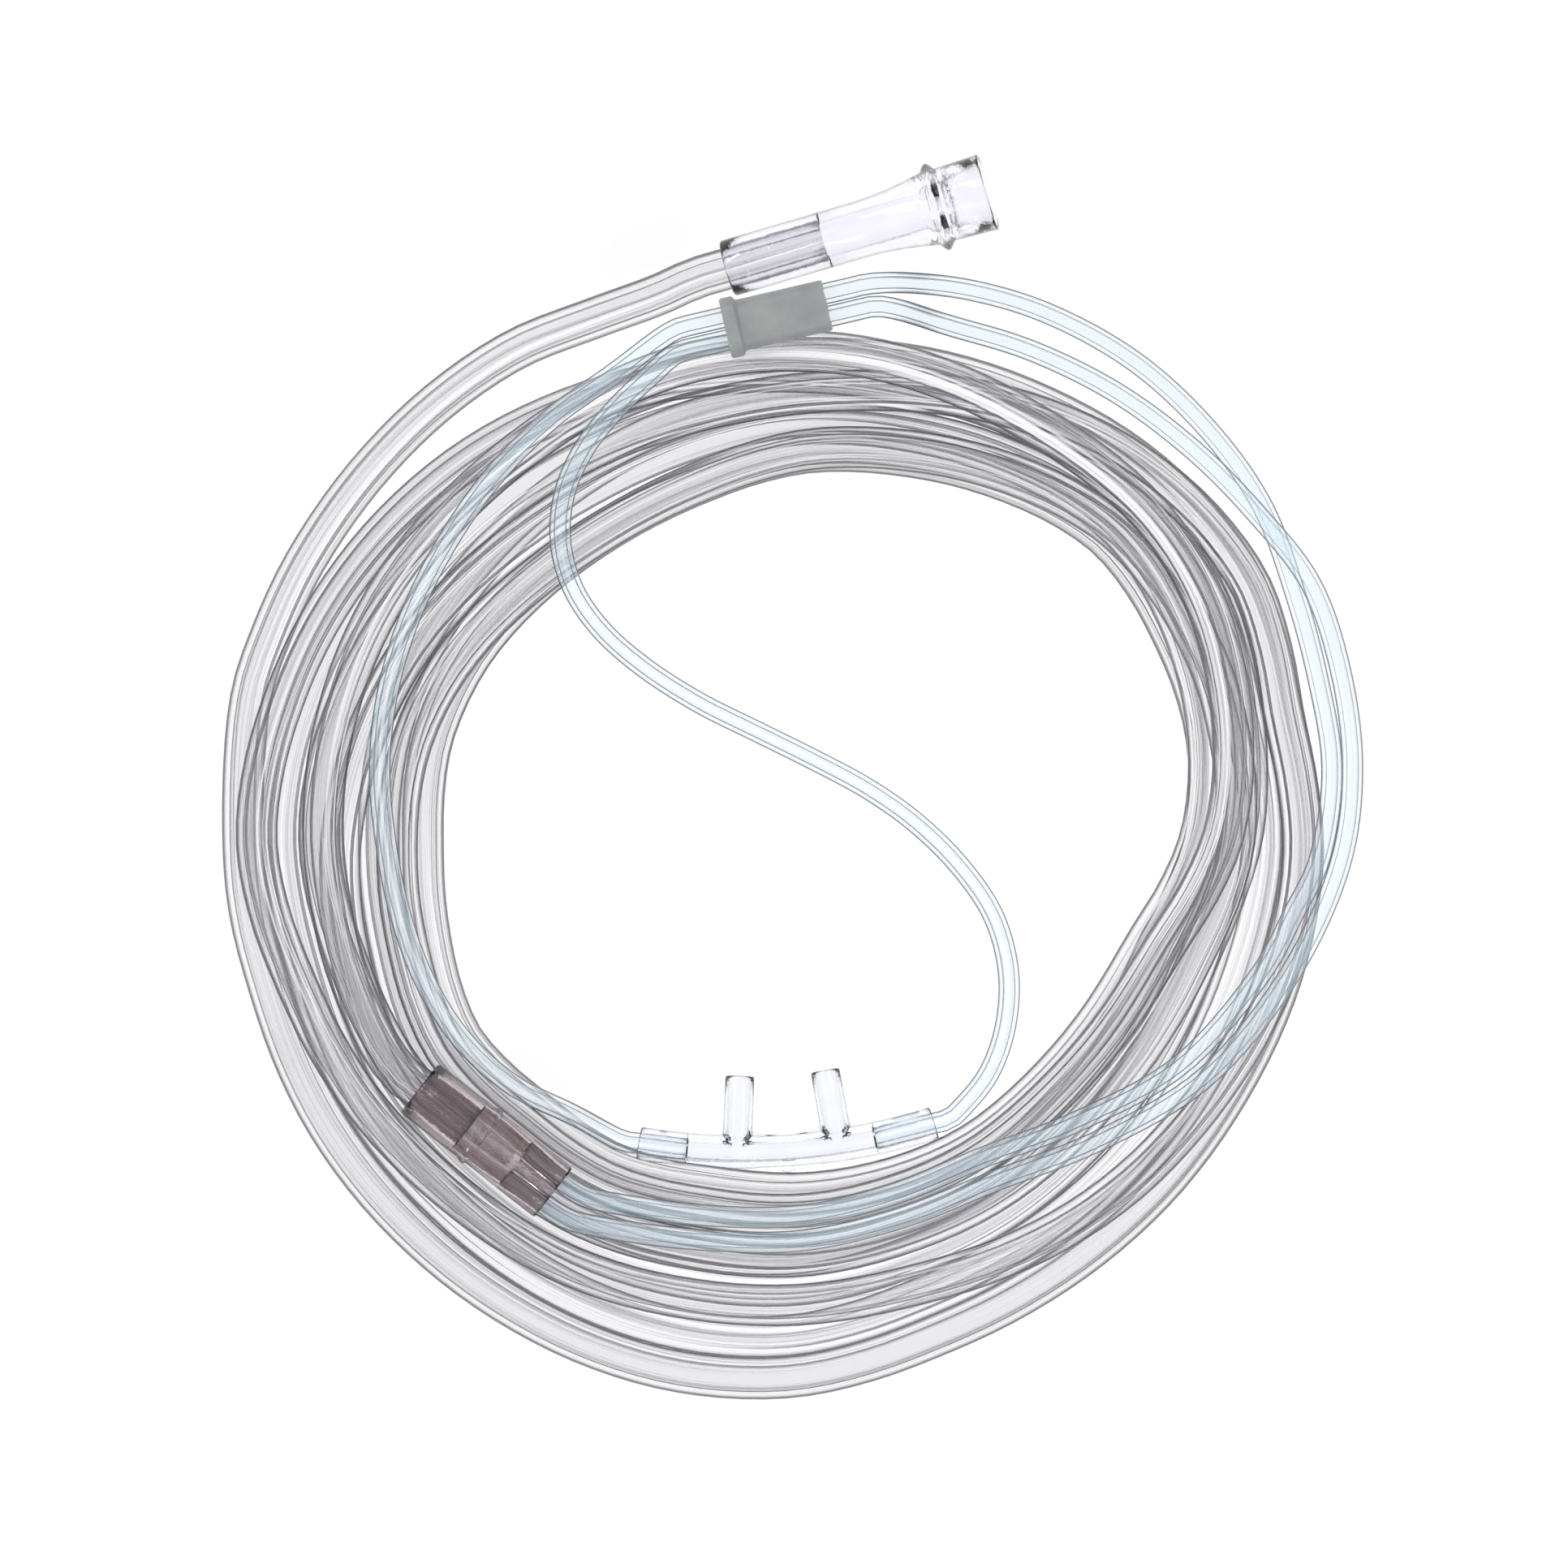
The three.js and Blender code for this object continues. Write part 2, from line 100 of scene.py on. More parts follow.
# Y connector
Y_INLET_OD = 10.7
Y_INLET_LENGTH = 13.3
Y_INLET_SOCKET = 11
Y_COLLAR_OD = 11.4
Y_COLLAR_LENGTH = 1.2
Y_LENGTH = 28.9
Y_OUTLET_PITCH = 4.8
Y_OUTLET_WALL = 0.75
Y_OUTLET_SOCKET = 8
Y_PASSAGE = 2.5
Y_PLACE = (-64.6, -41.4)
Y_TURN = -38

# Funnel connector
SLEEVE_OD = 9.8
SLEEVE_SOCKET = 17.4
FUNNEL_LENGTH = 46.6
FUNNEL_BORE = 6.4
FLANGE_OD = 15.4
FLANGE_AT = 37.5
FLANGE_LENGTH = 2.6
NECK_OD = 12.9
MOUTH_OD = 13.5
MOUTH_BORE = 12.2
CONE_DEPTH = 7.2
CONE_END_BORE = 8.2
FUNNEL_PLACE = (-12.4, 98.3)
FUNNEL_TURN = 16.3

# The coil's inner and outer radius, every 15 degrees from +X
COIL_ROWS = np.array([
    [64.3, 89.3], [68.5, 88.5], [70.1, 91.5], [71.2, 90.7],
    [68.5, 89], [65.6, 88.2], [63.5, 87.9], [60.7, 88.5],
    [59.6, 88.9], [60.1, 90.3], [61.5, 92.5], [62.1, 95],
    [61.3, 97.6], [62.2, 96], [63.5, 95.6], [61.1, 95.6],
    [60.1, 95.7], [57.4, 95.6], [56.6, 94], [56.2, 90.3],
    [56.2, 88.5], [55.6, 87.9], [56, 87.9], [57.9, 88.9],
])

# How far out in the coil each turn lies, from 0 inside to 1 outside, every 45 degrees from +X.
# The first turn starts at 180 degrees, and the last one ends at the Y connector.
LANES = [
    [1.0, 1.0, 1.0, 1.0],
    [0.95, 0.9, 0.85, 0.8, 0.75, 0.78, 0.82, 0.75],
    [0.6, 0.5, 0.45, 0.4, 0.3, 0.2, 0.15, 0.1],
    [0.05, 0.0, 0.0, 0.0, 0.0, 0.0, 0.0, 0.0],
    [0.1, 0.25, 0.3, 0.3, 0.45, 0.5, 0.5, 0.45],
    [0.45, 0.65, 0.75, 1.0, 0.95, 0.7, 0.6, 0.85],
    [1.0, 1.0, 0.6, 0.6, 0.55, 0.35, 0.3, 0.3],
    [0.35, 0.15, 0.1, 0.1, 0.15, 0.1, 0.1, 0.05],
    [0.2, 0.55, 0.95, 0.8, 0.56],
]
COIL_ROW_ANGLE = 15
FIRST_LANE_ANGLE = 180
LANE_ANGLE = 45
LAST_LANE_ANGLE = 8 * 360 + 199

# How the tubes are laid down
SUPPLY_STEP = 3.0
HEADSET_STEP = 2.0
HOSE_STEP = 3.6
COIL_ANGLE_STEP = 7.5
COIL_ROUNDS = 600
LATE_ROUNDS = 0.85
DROP_HEIGHT = 45
FALL = 0.15
LATE_FALL = 0.03
PULL_HOME = 0.02
PUSH_APART = 1.4
SIDE_SLACK = 0.6
FIRST_STRETCH = 270
LAST_STRETCH = 40
DRAPE_ROUNDS = 14
SEAT_STRETCH = 12
STEEPEST_DROP = 0.5


# Camera, floor and light

CAMERA_HEIGHT = 3.0
SENSOR_WIDTH = 36
FLOOR_REACH = 3.0
PICTURE_PIXELS = 1932
PIXELS_PER_MM = 7.2
COIL_MIDDLE_PIXEL = np.array([985, 1040])


def look_down(place, width):
    """A camera straight above a plan point, with a long lens, that takes in this width of floor."""
    camera = bpy.data.cameras.new("camera")
    camera.sensor_width = SENSOR_WIDTH
    camera.lens = SENSOR_WIDTH * CAMERA_HEIGHT / (width * MM)
    camera.clip_start = 0.1
    camera.clip_end = 20
    eye = bpy.data.objects.new("camera", camera)
    eye.location = (place[0] * MM, place[1] * MM, CAMERA_HEIGHT)
    bpy.context.scene.collection.objects.link(eye)
    bpy.context.scene.camera = eye


picture_middle = (PICTURE_PIXELS / 2 - COIL_MIDDLE_PIXEL) / PIXELS_PER_MM * [1, -1] + COIL_MIDDLE
look_down(picture_middle, PICTURE_PIXELS / PIXELS_PER_MM)


# Curves

def across(rows):
    """Plan points as given: x, y, and a height that is found later."""
    return [(x, y, np.nan) for x, y in rows]


def around(rows):
    """Plan points given as angle in degrees and radius."""
    return [(r * math.cos(math.radians(a)), r * math.sin(math.radians(a)), np.nan) for a, r in rows]


def placed(points, place, height, turn, tip=0.0):
    """Points of a piece made along +X: tipped nose up, then turned in plan, then moved to their place."""
    p = np.asarray(points, float)
    t, a = math.radians(tip), math.radians(turn)
    x = p[..., 0] * math.cos(t) - p[..., 2] * math.sin(t)
    z = p[..., 0] * math.sin(t) + p[..., 2] * math.cos(t)
    y = p[..., 1]
    turned_x = x * math.cos(a) - y * math.sin(a)
    turned_y = x * math.sin(a) + y * math.cos(a)
    return np.stack([turned_x + place[0], turned_y + place[1], z + height], axis=-1)


def distances(line):
    """How far along a line each of its points lies."""
    return np.concatenate([[0], np.cumsum(np.linalg.norm(np.diff(line, axis=0), axis=1))])


def resample(line, step):
    """The same line with points at an even step."""
    far = distances(line)
    at = np.linspace(0, far[-1], int(round(far[-1] / step)) + 1)
    return np.stack([np.interp(at, far, column) for column in line.T], axis=1)


def smooth_line(points, step):
    """A centripetal Catmull-Rom curve through the points: each span blends the straight lines through its
    four nearest points, with knots spaced by the square root of the distance between them."""
    points = np.asarray(points, float)
    p = np.vstack([2 * points[0] - points[1], points, 2 * points[-1] - points[-2]])
    gaps = np.sqrt(np.maximum(np.linalg.norm(np.diff(p, axis=0), axis=1), 1e-6))
    share = np.linspace(0, 1, 24, endpoint=False)[None, :, None]
    a, b, c, d = (p[k:len(p) - 3 + k, None, :] for k in range(4))
    g0, g1, g2 = (gaps[k:len(gaps) - 2 + k, None, None] for k in range(3))
    t = g0 + share * g1
    t2, t3 = g0 + g1, g0 + g1 + g2
    ab = (g0 - t) / g0 * a + t / g0 * b
    bc = (t2 - t) / g1 * b + (t - g0) / g1 * c
    cd = (t3 - t) / g2 * c + (t - t2) / g2 * d
    abc = (t2 - t) / t2 * ab + t / t2 * bc
    bcd = (t3 - t) / (g1 + g2) * bc + (t - g0) / (g1 + g2) * cd
    curve = (t2 - t) / g1 * abc + (t - g0) / g1 * bcd
    return resample(np.vstack([curve.reshape(-1, 3), points[-1:]]), step)


def cubic(values, at):
    """Reads evenly spaced values at places between them, by a Catmull-Rom cubic."""
    i = np.clip(np.floor(at).astype(int), 0, len(values) - 1)
    f = at - i
    p0, p1, p2, p3 = (values[np.clip(i + k, 0, len(values) - 1)] for k in (-1, 0, 1, 2))
    return p1 + 0.5 * f * (p2 - p0 + f * (2 * p0 - 5 * p1 + 4 * p2 - p3 + f * (3 * (p1 - p2) + p3 - p0)))


def eased(start, end, share):
    """A smooth step from start to end."""
    share = np.clip(share, 0, 1)
    return start + (end - start) * share * share * (3 - 2 * share)


# The seats of the rigid pieces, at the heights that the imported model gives

def seat_height(node):
    """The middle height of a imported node, in millimetres."""
    low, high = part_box(node)
    return (low[2] + high[2]) / 2 / MM


Y_HEIGHT = seat_height("y_connector")
SLIDE_HEIGHT = seat_height("chin_slide")
FUNNEL_TIP = math.degrees(math.atan2((FLANGE_OD - SLEEVE_OD) / 2, FLANGE_AT))


def on_nosepiece(points):
    return placed(points, NOSEPIECE_PLACE, BARREL_OD / 2, NOSEPIECE_TURN)


def on_slide(points):
    return placed(points, SLIDE_PLACE, SLIDE_HEIGHT, SLIDE_TURN)


def on_y(points):
    return placed(points, Y_PLACE, Y_HEIGHT, Y_TURN)


def on_funnel(points):
    return placed(points, FUNNEL_PLACE, SLEEVE_OD / 2, FUNNEL_TURN, FUNNEL_TIP)


def bent(points):
    """Bends the nosepiece's straight form: x runs round a circle of the barrel's bend radius."""
    p = np.asarray(points, float)
    angle = p[..., 0] / BARREL_BEND_RADIUS
    radius = BARREL_BEND_RADIUS - p[..., 1]
    x = radius * np.sin(angle)
    y = BARREL_BEND_RADIUS - radius * np.cos(angle)
    return np.stack([x, y, p[..., 2]], axis=-1)


def on_barrel(points):
    """Puts the straight form of something on the barrel in its place on the bent one."""
    return on_nosepiece(bent(points))


def barrel_end(side, depth):
    """The straight run of a headset tube in the barrel's socket, from outside its mouth to its end."""
    end, mouth = bent([(side * (BARREL_LENGTH / 2 - depth), 0, 0), (side * BARREL_LENGTH / 2, 0, 0)])
    along = (mouth - end) / np.linalg.norm(mouth - end)
    return [tuple(p) for p in on_nosepiece([mouth + along * HEADSET_LEAD, mouth, end])]


def slide_run(side):
    """One headset tube's straight stretch through the chin slide, on both sides of its travel."""
    half = SLIDE_LENGTH / 2 + SLIDE_TRAVEL
    y = side * SLIDE_TUBE_PITCH / 2
    far = half + HEADSET_LEAD
    return [tuple(p) for p in on_slide([(x, y, 0) for x in (far, half, half / 2, 0, -half / 2, -half, -far)])]


def outlet_run(side):
    """One headset tube's start in the Y connector."""
    y = side * Y_OUTLET_PITCH / 2
    inside = Y_LENGTH - Y_OUTLET_SOCKET
    return [tuple(p) for p in on_y([(inside, y, 0), (Y_LENGTH, y, 0), (Y_LENGTH + HEADSET_LEAD, y, 0)])]


# The routes

def coil_route():
    """The whole supply tube in plan, from the funnel's socket round the coil to the Y connector's."""
    lanes = np.concatenate([np.array(row) for row in LANES])
    angles = np.arange(FIRST_LANE_ANGLE, LAST_LANE_ANGLE, COIL_ANGLE_STEP)
    share = cubic(lanes, (angles - FIRST_LANE_ANGLE) / LANE_ANGLE)
    inner, outer = coil_sides(angles)
    radii = inner + share * (outer - inner)
    start = [tuple(p) for p in on_funnel([(SLEEVE_SOCKET, 0, 0), (0, 0, 0), (-SUPPLY_LEAD, 0, 0)])]
    lead = around([
        (104, 97), (111, 96.5), (120, 97.5), (130, 97.5), (140, 97.2), (150, 97), (158, 96.7), (165, 96.4),
    ])
    end = [tuple(p) for p in on_y([(-SUPPLY_LEAD, 0, 0), (0, 0, 0), (Y_INLET_SOCKET, 0, 0)])]
    return start + lead + around(zip(angles, radii)) + end


LEFT_ROUTE = [
    *outlet_run(1),
    *around([
        (243, 68.6), (255, 65.3), (270, 63.2), (285, 61.6), (300, 61.6), (315, 66.7), (330, 75),
        (345, 81.9), (352, 84.9), (358, 88.4), (8, 91.7), (18, 93), (27, 95), (36, 98), (45, 99.5),
        (55, 100.4), (65, 100), (73, 98.8),
    ]),
    *slide_run(1),
    *around([
        (112, 85.8), (120, 83.8), (130, 81.3), (140, 78.8), (150, 76.7), (160, 74.7), (170, 72.6),
        (180, 70.4), (190, 69), (200, 67.9), (210, 66.4), (220, 63.8), (230, 60.2),
    ]),
    *barrel_end(-1, LEFT_SOCKET_DEPTH),
]

RIGHT_ROUTE = [
    *outlet_run(-1),
    *around([
        (243, 73.2), (255, 69.6), (270, 67.5), (285, 65.9), (300, 66.2), (315, 71.6), (330, 79.6),
        (345, 86.3), (358, 92.2), (8, 95.2), (18, 97), (27, 98), (36, 96.3),
        (45, 95.2), (55, 94.2), (65, 93), (73, 92),
    ]),
    *slide_run(-1),
    *across([
        (-25.2, 79.8), (-31.3, 74), (-36.8, 67), (-40, 59.7), (-40.7, 51.4), (-38.6, 43.6),
        (-34, 36.8), (-27.1, 30.6), (-17.4, 24.3), (-7.6, 19.4), (2.1, 14.6), (11.8, 9.4),
        (20.1, 3.5), (27.8, -4.2), (33.3, -12.5), (35.8, -22.2), (35.1, -31.9), (32.2, -39.6),
        (28.2, -44.6),
    ]),
    *barrel_end(1, RIGHT_SOCKET_DEPTH),
]


# Laying the tubes down

def low_pass(field, width):
    """Smooths each column along the tube with a Gaussian of this many points."""
    reach = int(3 * width)
    weights = np.exp(-0.5 * (np.arange(-reach, reach + 1) / width) ** 2)
    weights /= weights.sum()
    padded = np.pad(field, ((reach, reach), (0, 0)), mode="edge")
    return np.stack([np.convolve(column, weights, mode="valid") for column in padded.T], axis=1)


def near_pairs(points, reach, skip):
    """Pairs of points of one tube that are closer than reach and further apart along it than skip."""
    found = []
    block = 200
    for start in range(0, len(points), block):
        squared = ((points[start:start + block, None, :] - points[None]) ** 2).sum(-1)
        i, j = np.nonzero(squared < reach * reach)
        i = i + start
        apart = j > i + skip
        found.append(np.stack([i[apart], j[apart]]))
    return np.concatenate(found, axis=1)


def coil_sides(angles):
    """The inner and outer radius for the middle of a supply tube at these angles, in degrees."""
    rows = np.vstack([COIL_ROWS[-1:], COIL_ROWS, COIL_ROWS[:3]])
    at = (angles % 360) / COIL_ROW_ANGLE + 1
    return cubic(rows[:, 0], at) + SUPPLY_OD / 2, cubic(rows[:, 1], at) - SUPPLY_OD / 2


def kept_between_sides(p):
    """How far each point is scaled outwards in plan to come back between the coil's sides."""
    inner, outer = coil_sides(np.degrees(np.arctan2(p[:, 1], p[:, 0])))
    far = np.hypot(p[:, 0], p[:, 1])
    wanted = np.clip(far, inner - SIDE_SLACK, outer + SIDE_SLACK)
    return 1 + 0.5 * (wanted - far) / far


def lay_down(points, free, in_coil):
    """Lets the free points of the supply tube fall on the floor and on each other, a little each round.

    Each round lowers them, draws them back in plan to where they were, pushes touching pairs apart along
    the line between them, keeps the coil between its sides, and smooths the drift in plan and the height
    along the tube."""
    p = points.copy()
    home = p[:, :2].copy()
    loose = free.astype(float)[:, None]
    radius = SUPPLY_OD / 2
    skip = int(4 * SUPPLY_OD / SUPPLY_STEP)
    for k in range(COIL_ROUNDS):
        if k % 10 == 0:
            i, j = near_pairs(p, 1.1 * SUPPLY_OD, skip)
        late = k > COIL_ROUNDS * LATE_ROUNDS
        p[:, 2] -= loose[:, 0] * (LATE_FALL if late else FALL)
        p[:, :2] += loose * PULL_HOME * (home - p[:, :2])
        for _ in range(3):
            between = p[j] - p[i]
            far = np.linalg.norm(between, axis=1)
            hit = far < SUPPLY_OD
            a, b = i[hit], j[hit]
            push = between[hit] * ((SUPPLY_OD / far[hit] - 1) / 2)[:, None]
            move = np.zeros_like(p)
            count = np.zeros(len(p))
            np.add.at(move, a, -push)
            np.add.at(move, b, push)
            np.add.at(count, a, 1)
            np.add.at(count, b, 1)
            p += loose * move / np.maximum(count, 1)[:, None] * PUSH_APART
            p[:, :2] *= np.where(in_coil, kept_between_sides(p), 1)[:, None]
            p[:, 2] = np.where(free, np.maximum(p[:, 2], radius), p[:, 2])
        if not late or k % 4 == 0:
            drift = low_pass(p[:, :2] - home, 9)
            p[:, :2] += loose * 0.5 * (home + drift - p[:, :2])
            p[:, 2:] += loose * 0.3 * (low_pass(p[:, 2:], 3) - p[:, 2:])
            p[:, 2] = np.where(free, np.maximum(p[:, 2], radius), p[:, 2])
    p[:, :2] += loose * (home + low_pass(p[:, :2] - home, 5) - p[:, :2])
    p[:, 2:] += loose * (np.maximum(low_pass(p[:, 2:], 3), radius) - p[:, 2:])
    return p


def lay_supply_tube():
    """The supply tube, from the funnel to the Y connector, with its turns lying on each other.

    Its last stretch then rises, by a smooth step, into the Y connector's socket."""
    route = np.array(coil_route())
    route[np.isnan(route)] = SUPPLY_OD / 2
    line = smooth_line(route, SUPPLY_STEP)
    seated = line[:, 2].copy()
    far = distances(line)
    left = far[-1] - far
    free = far > SLEEVE_SOCKET + SUPPLY_LEAD
    in_coil = (far > FIRST_STRETCH) & (left > LAST_STRETCH)
    drop = DROP_HEIGHT * np.clip(far / far[-1] - 0.05, 0, 1)
    line[free, 2] = SUPPLY_OD / 2 + drop[free]
    laid = lay_down(line, free, in_coil)
    straight = Y_INLET_SOCKET + SUPPLY_LEAD
    share = eased(0, 1, 1 - (left - straight) / LAST_STRETCH)
    seated = np.where(left > straight, Y_HEIGHT, seated)
    laid[:, 2] += share * (seated - laid[:, 2])
    laid[:, :2] += np.where(left < straight, 1, 0)[:, None] * (line[:, :2] - laid[:, :2])
    return laid


def contact_heights(line, radius, points, radii):
    """How high the middle of something round has to be, along a line in plan, to touch what is under it."""
    reach = radii + radius
    plan = np.linalg.norm(line[:, None, :2] - points[None, :, :2], axis=2)
    lift = np.where(plan < reach, points[:, 2] + np.sqrt(np.maximum(reach ** 2 - plan ** 2, 0)), -np.inf)
    return np.maximum(lift.max(axis=1), radius)


def lay_headset_tube(route, points, radii):
    """A headset tube that lies on what is laid already, and on the floor.

    Its height is that of touching the highest thing under it, with no drop steeper than a vinyl tube
    takes by itself, and eased along the tube so that it bridges small hollows. In the sockets and in
    the slide it is the given height, from which it eases away."""
    route = np.array(route, float)
    line = smooth_line(np.where(np.isnan(route), 0, route), HEADSET_STEP)
    given = np.full(len(line), np.nan)
    for start, end in zip(route[:-1], route[1:]):
        if not np.isnan(start[2] + end[2]):
            run = end[:2] - start[:2]
            share = np.clip((line[:, :2] - start[:2]) @ run / (run @ run), 0, 1)
            foot = start + share[:, None] * (end - start)
            on = np.linalg.norm(line[:, :2] - foot[:, :2], axis=1) < 0.3
            given[on] = foot[on, 2]
    seat = contact_heights(line, HEADSET_OD / 2, points, radii)
    height = np.where(np.isnan(given), seat, given)
    far = distances(line[:, :2])
    apart = np.abs(far[:, None] - far[None, :])
    height = np.where(np.isnan(given), (height[None, :] - STEEPEST_DROP * apart).max(axis=1), given)
    for _ in range(DRAPE_ROUNDS):
        eased_height = low_pass(height[:, None], 3)[:, 0]
        height = np.where(np.isnan(given), np.maximum(eased_height, seat), given)
    soft = np.maximum(low_pass(height[:, None], 2)[:, 0], HEADSET_OD / 2)
    held = np.flatnonzero(~np.isnan(given))
    nearest = given[held][apart[:, held].argmin(axis=1)]
    share = eased(0, 1, apart[:, held].min(axis=1) / SEAT_STRETCH)
    line[:, 2] = nearest + share * (soft - nearest)
    return resample(line, HEADSET_STEP)


# Meshes

def piece(name, points, faces):
    """A smooth mesh from points in millimetres, counted from the coil's middle, and its faces."""
    moved = (np.asarray(points, float) + [COIL_MIDDLE[0], COIL_MIDDLE[1], 0]) * MM
    mesh = bpy.data.meshes.new(name)
    mesh.from_pydata(moved.tolist(), [], np.asarray(faces).tolist())
    mesh.shade_smooth()
    made = bpy.data.objects.new(name, mesh)
    bpy.context.scene.collection.objects.link(made)
    return made


def ring_faces(rings, sides):
    """Quads between neighbouring rings of points, closed round each ring and from the last to the first."""
    i, j = np.meshgrid(np.arange(rings), np.arange(sides), indexing="ij")
    a = i * sides + j
    b = i * sides + (j + 1) % sides
    up = ((i + 1) % rings) * sides
    c = up + (j + 1) % sides
    d = up + j
    return np.stack([a, b, c, d], axis=-1).reshape(-1, 4)


def across_line(line):
    """Two unit vectors across a line at each point: one level, and one square to it and to the line."""
    along = np.gradient(line, axis=0)
    along /= np.linalg.norm(along, axis=1)[:, None]
    level = np.cross(along, [0, 0, 1.0])
    level /= np.linalg.norm(level, axis=1)[:, None]
    return level, np.cross(level, along)


def hose(name, line, outside, bore, rib, sides):
    """A tube with a star-shaped lumen along a line.

    At each point of the line stands a ring of points: the outer wall at the outer radius, and the inner wall
    at the bore's radius less the ribs, a cosine with five crests round the tube. The rings slowly turn
    along the tube. The inner wall runs back inside the outer one, so the wall is closed at both ends.
    The UV map holds the distance round the tube and the distance along it, in metres."""
    rings = len(line)
    far = distances(line)
    level, up = across_line(line)
    twist = LUMEN_TWIST * np.sin(far / LUMEN_TWIST_LENGTH)
    angle = np.linspace(0, 2 * np.pi, sides, endpoint=False)[None, :] + twist[:, None]
    turn = np.cos(angle)[..., None] * level[:, None, :] + np.sin(angle)[..., None] * up[:, None, :]
    crests = np.cos(LUMEN_RIBS * np.linspace(0, 2 * np.pi, sides, endpoint=False))
    star = bore / 2 - rib * (0.5 + 0.5 * crests)
    outer = line[:, None, :] + outside / 2 * turn
    inner = line[:, None, :] + star[None, :, None] * turn
    points = np.concatenate([outer, inner[::-1]]).reshape(-1, 3)
    faces = ring_faces(2 * rings, sides)
    made = piece(name, points, faces)
    mesh = made.data
    along = np.concatenate([far, far[::-1]])
    corner = np.empty(len(mesh.loops), int)
    mesh.loops.foreach_get("vertex_index", corner)
    ring, side = corner // sides, corner % sides
    first = np.repeat(side[::4], 4)
    wrapped = np.where((side == 0) & (first != 0), sides, side)
    uv = np.stack([wrapped / sides * np.pi * outside, along[ring]], axis=1) * MM
    mesh.uv_layers.new(name="tube").data.foreach_set("uv", uv.ravel())
    return made


def turned(profile, sides=64):
    """Points of a body of revolution about +X: each [along, radius] of the closed profile becomes a ring."""
    profile = np.asarray(profile, float)
    angle = np.linspace(0, 2 * np.pi, sides, endpoint=False)
    x = np.repeat(profile[:, :1], sides, axis=1)
    y = profile[:, 1:] * np.cos(angle)
    z = profile[:, 1:] * np.sin(angle)
    return np.stack([x, y, z], axis=-1).reshape(-1, 3)


def capped_faces(rings, sides):
    """Faces of a closed body of stacked rings, with one flat cap at each end."""
    walls = ring_faces(rings, sides)[:-sides].tolist()
    first = list(range(sides))[::-1]
    last = list(range((rings - 1) * sides, rings * sides))
    return walls, first, last


def body_of_rings(name, points, rings, sides, place):
    """A closed body from stacked rings of points, put in its place by the given function."""
    walls, first, last = capped_faces(rings, sides)
    mesh = bpy.data.meshes.new(name)
    moved = (place(points) + [COIL_MIDDLE[0], COIL_MIDDLE[1], 0]) * MM
    mesh.from_pydata(moved.tolist(), [], walls + [first, last])
    made = bpy.data.objects.new(name, mesh)
    bpy.context.scene.collection.objects.link(made)
    outwards(mesh)
    return made


def outwards(mesh):
    """Turns every face of a closed mesh outwards."""
    work = bmesh.new()
    work.from_mesh(mesh)
    bmesh.ops.recalc_face_normals(work, faces=work.faces)
    work.to_mesh(mesh)
    work.free()


def carved(name, bodies, hollows):
    """One body from several joined ones, less the hollows."""
    made = bodies[0]
    for other, operation in [(b, "UNION") for b in bodies[1:]] + [(h, "DIFFERENCE") for h in hollows]:
        step = made.modifiers.new("step", "BOOLEAN")
        step.operation = operation
        step.object = other
        step.solver = "EXACT"
        graph = bpy.context.evaluated_depsgraph_get()
        mesh = bpy.data.meshes.new_from_object(made.evaluated_get(graph))
        made.modifiers.clear()
        made.data = mesh
    for other in bodies[1:] + hollows:
        bpy.data.objects.remove(other)
    made.name = name
    made.data.shade_smooth()
    made.data.set_sharp_from_angle(angle=math.radians(38))
    return made


def rod(radii, along, offset=0.0, sides=48):
    """Rings of points about a line parallel to +X, one of each radius at each distance along it."""
    points = turned(np.stack([along, radii], axis=1), sides)
    points[:, 1] += offset
    return points


# The rigid pieces

